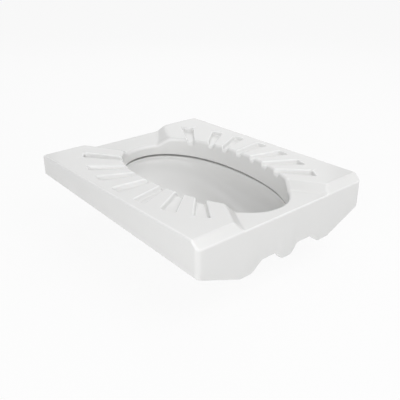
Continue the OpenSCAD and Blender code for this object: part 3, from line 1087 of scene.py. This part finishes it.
class StudioSettings(bpy.types.PropertyGroup):
    """Levels of the studio's lamps."""
    near_power: level("Near lamp", "Power of the high lamp at the near end", 18.9, unit="POWER")
    right_power: level("Right lamp", "Power of the lamp at the near right", 10.4, unit="POWER")
    low_power: level("Low lamp", "Power of the low lamp at the near left", 28.9, unit="POWER")
    left_power: level("Left lamp", "Power of the lamp at the left", 10.0, unit="POWER")
    far_power: level("Far lamp", "Power of the high lamp at the far right", 11.4, unit="POWER")
    far_low_power: level("Low far lamp", "Power of the lower lamp at the far right", 6.3, unit="POWER")
    fill_level: level("Fill", "Brightness of the surrounding room", 0.2)
    shadow: level("Shadow", "How much of the pan's shadow the floor shows", 0.08, subtype="FACTOR")


# ---- operators

class PAN_OT_deck(bpy.types.Operator):
    """Make the deck with its treads and drain channels"""
    bl_idname = "pan.deck"
    bl_label = "Deck"

    def execute(self, context):
        deck_piece(context.scene.pan_roundings)
        return {"FINISHED"}


class PAN_OT_rim(bpy.types.Operator):
    """Make the flushing rim: lip, water channel and end block"""
    bl_idname = "pan.rim"
    bl_label = "Rim"

    def execute(self, context):
        sizes = context.scene.pan_roundings
        rim_lip_piece(sizes)
        rim_channel_piece(sizes)
        rim_end_block_piece()
        return {"FINISHED"}


class PAN_OT_bowl(bpy.types.Operator):
    """Make the bowl and its outlet spigot"""
    bl_idname = "pan.bowl"
    bl_label = "Bowl"

    def execute(self, context):
        bowl_piece()
        outlet_spigot_piece()
        return {"FINISHED"}


class PAN_OT_skirts(bpy.types.Operator):
    """Make the two long side skirts"""
    bl_idname = "pan.skirts"
    bl_label = "Skirts"

    def execute(self, context):
        for side in (-1, 1):
            skirt_piece(side, context.scene.pan_roundings)
        return {"FINISHED"}


class PAN_OT_end_walls(bpy.types.Operator):
    """Make the near and the far end wall"""
    bl_idname = "pan.end_walls"
    bl_label = "End walls"

    def execute(self, context):
        sizes = context.scene.pan_roundings
        end_wall_piece("near_end_wall", near_edge, -1, sizes)
        far = end_wall_piece("far_end_wall", far_edge, 1, sizes)
        cut_round_hole(far, (0, HALF_L, INLET_Z), HORN_R, 4 * WALL_T)
        return {"FINISHED"}


class PAN_OT_inlet(bpy.types.Operator):
    """Make the flush box and the inlet horn"""
    bl_idname = "pan.inlet"
    bl_label = "Inlet"

    def execute(self, context):
        flush_box_piece()
        inlet_horn_piece()
        return {"FINISHED"}


class PAN_OT_seals(bpy.types.Operator):
    """Make the two rubber seals"""
    bl_idname = "pan.seals"
    bl_label = "Seals"

    def execute(self, context):
        inlet_seal_piece()
        outlet_seal_piece()
        return {"FINISHED"}


class PAN_OT_stage(bpy.types.Operator):
    """Set up the floor, the lamps and the camera"""
    bl_idname = "pan.stage"
    bl_label = "Stage"

    def execute(self, context):
        scene = context.scene
        scene.view_settings.view_transform = "Standard"
        studio = scene.pan_studio
        studio_floor(studio)
        studio_world(studio)
        for name, (azimuth, elevation) in LAMPS.items():
            area_lamp(name + "_lamp", azimuth, elevation, getattr(studio, name + "_power"))
        photo_camera()
        return {"FINISHED"}


MAKERS = (PAN_OT_deck, PAN_OT_rim, PAN_OT_bowl, PAN_OT_skirts, PAN_OT_end_walls, PAN_OT_inlet, PAN_OT_seals,
          PAN_OT_stage)


class PAN_PT_panel(bpy.types.Panel):
    """Lists the pan's makers and settings"""
    bl_idname = "PAN_PT_panel"
    bl_label = "Squat Pan"
    bl_space_type = "VIEW_3D"
    bl_region_type = "UI"
    bl_category = "Squat Pan"

    def draw(self, context):
        for maker in MAKERS:
            self.layout.operator(maker.bl_idname)
        for group in (context.scene.pan_roundings, context.scene.pan_finish, context.scene.pan_studio):
            for name in group.__annotations__:
                self.layout.prop(group, name)


CLASSES = (PanRoundings, PanFinish, StudioSettings) + MAKERS + (PAN_PT_panel,)


def register():
    for entry in CLASSES:
        bpy.utils.register_class(entry)
    bpy.types.Scene.pan_roundings = PointerProperty(type=PanRoundings)
    bpy.types.Scene.pan_finish = PointerProperty(type=PanFinish)
    bpy.types.Scene.pan_studio = PointerProperty(type=StudioSettings)


def unregister():
    del bpy.types.Scene.pan_studio
    del bpy.types.Scene.pan_finish
    del bpy.types.Scene.pan_roundings
    for entry in reversed(CLASSES):
        bpy.utils.unregister_class(entry)


def main():
    """Runs the makers in order."""
    register()
    for maker in MAKERS:
        group, name = maker.bl_idname.split(".")
        getattr(getattr(bpy.ops, group), name)()


if __name__ == "__main__":
    main()
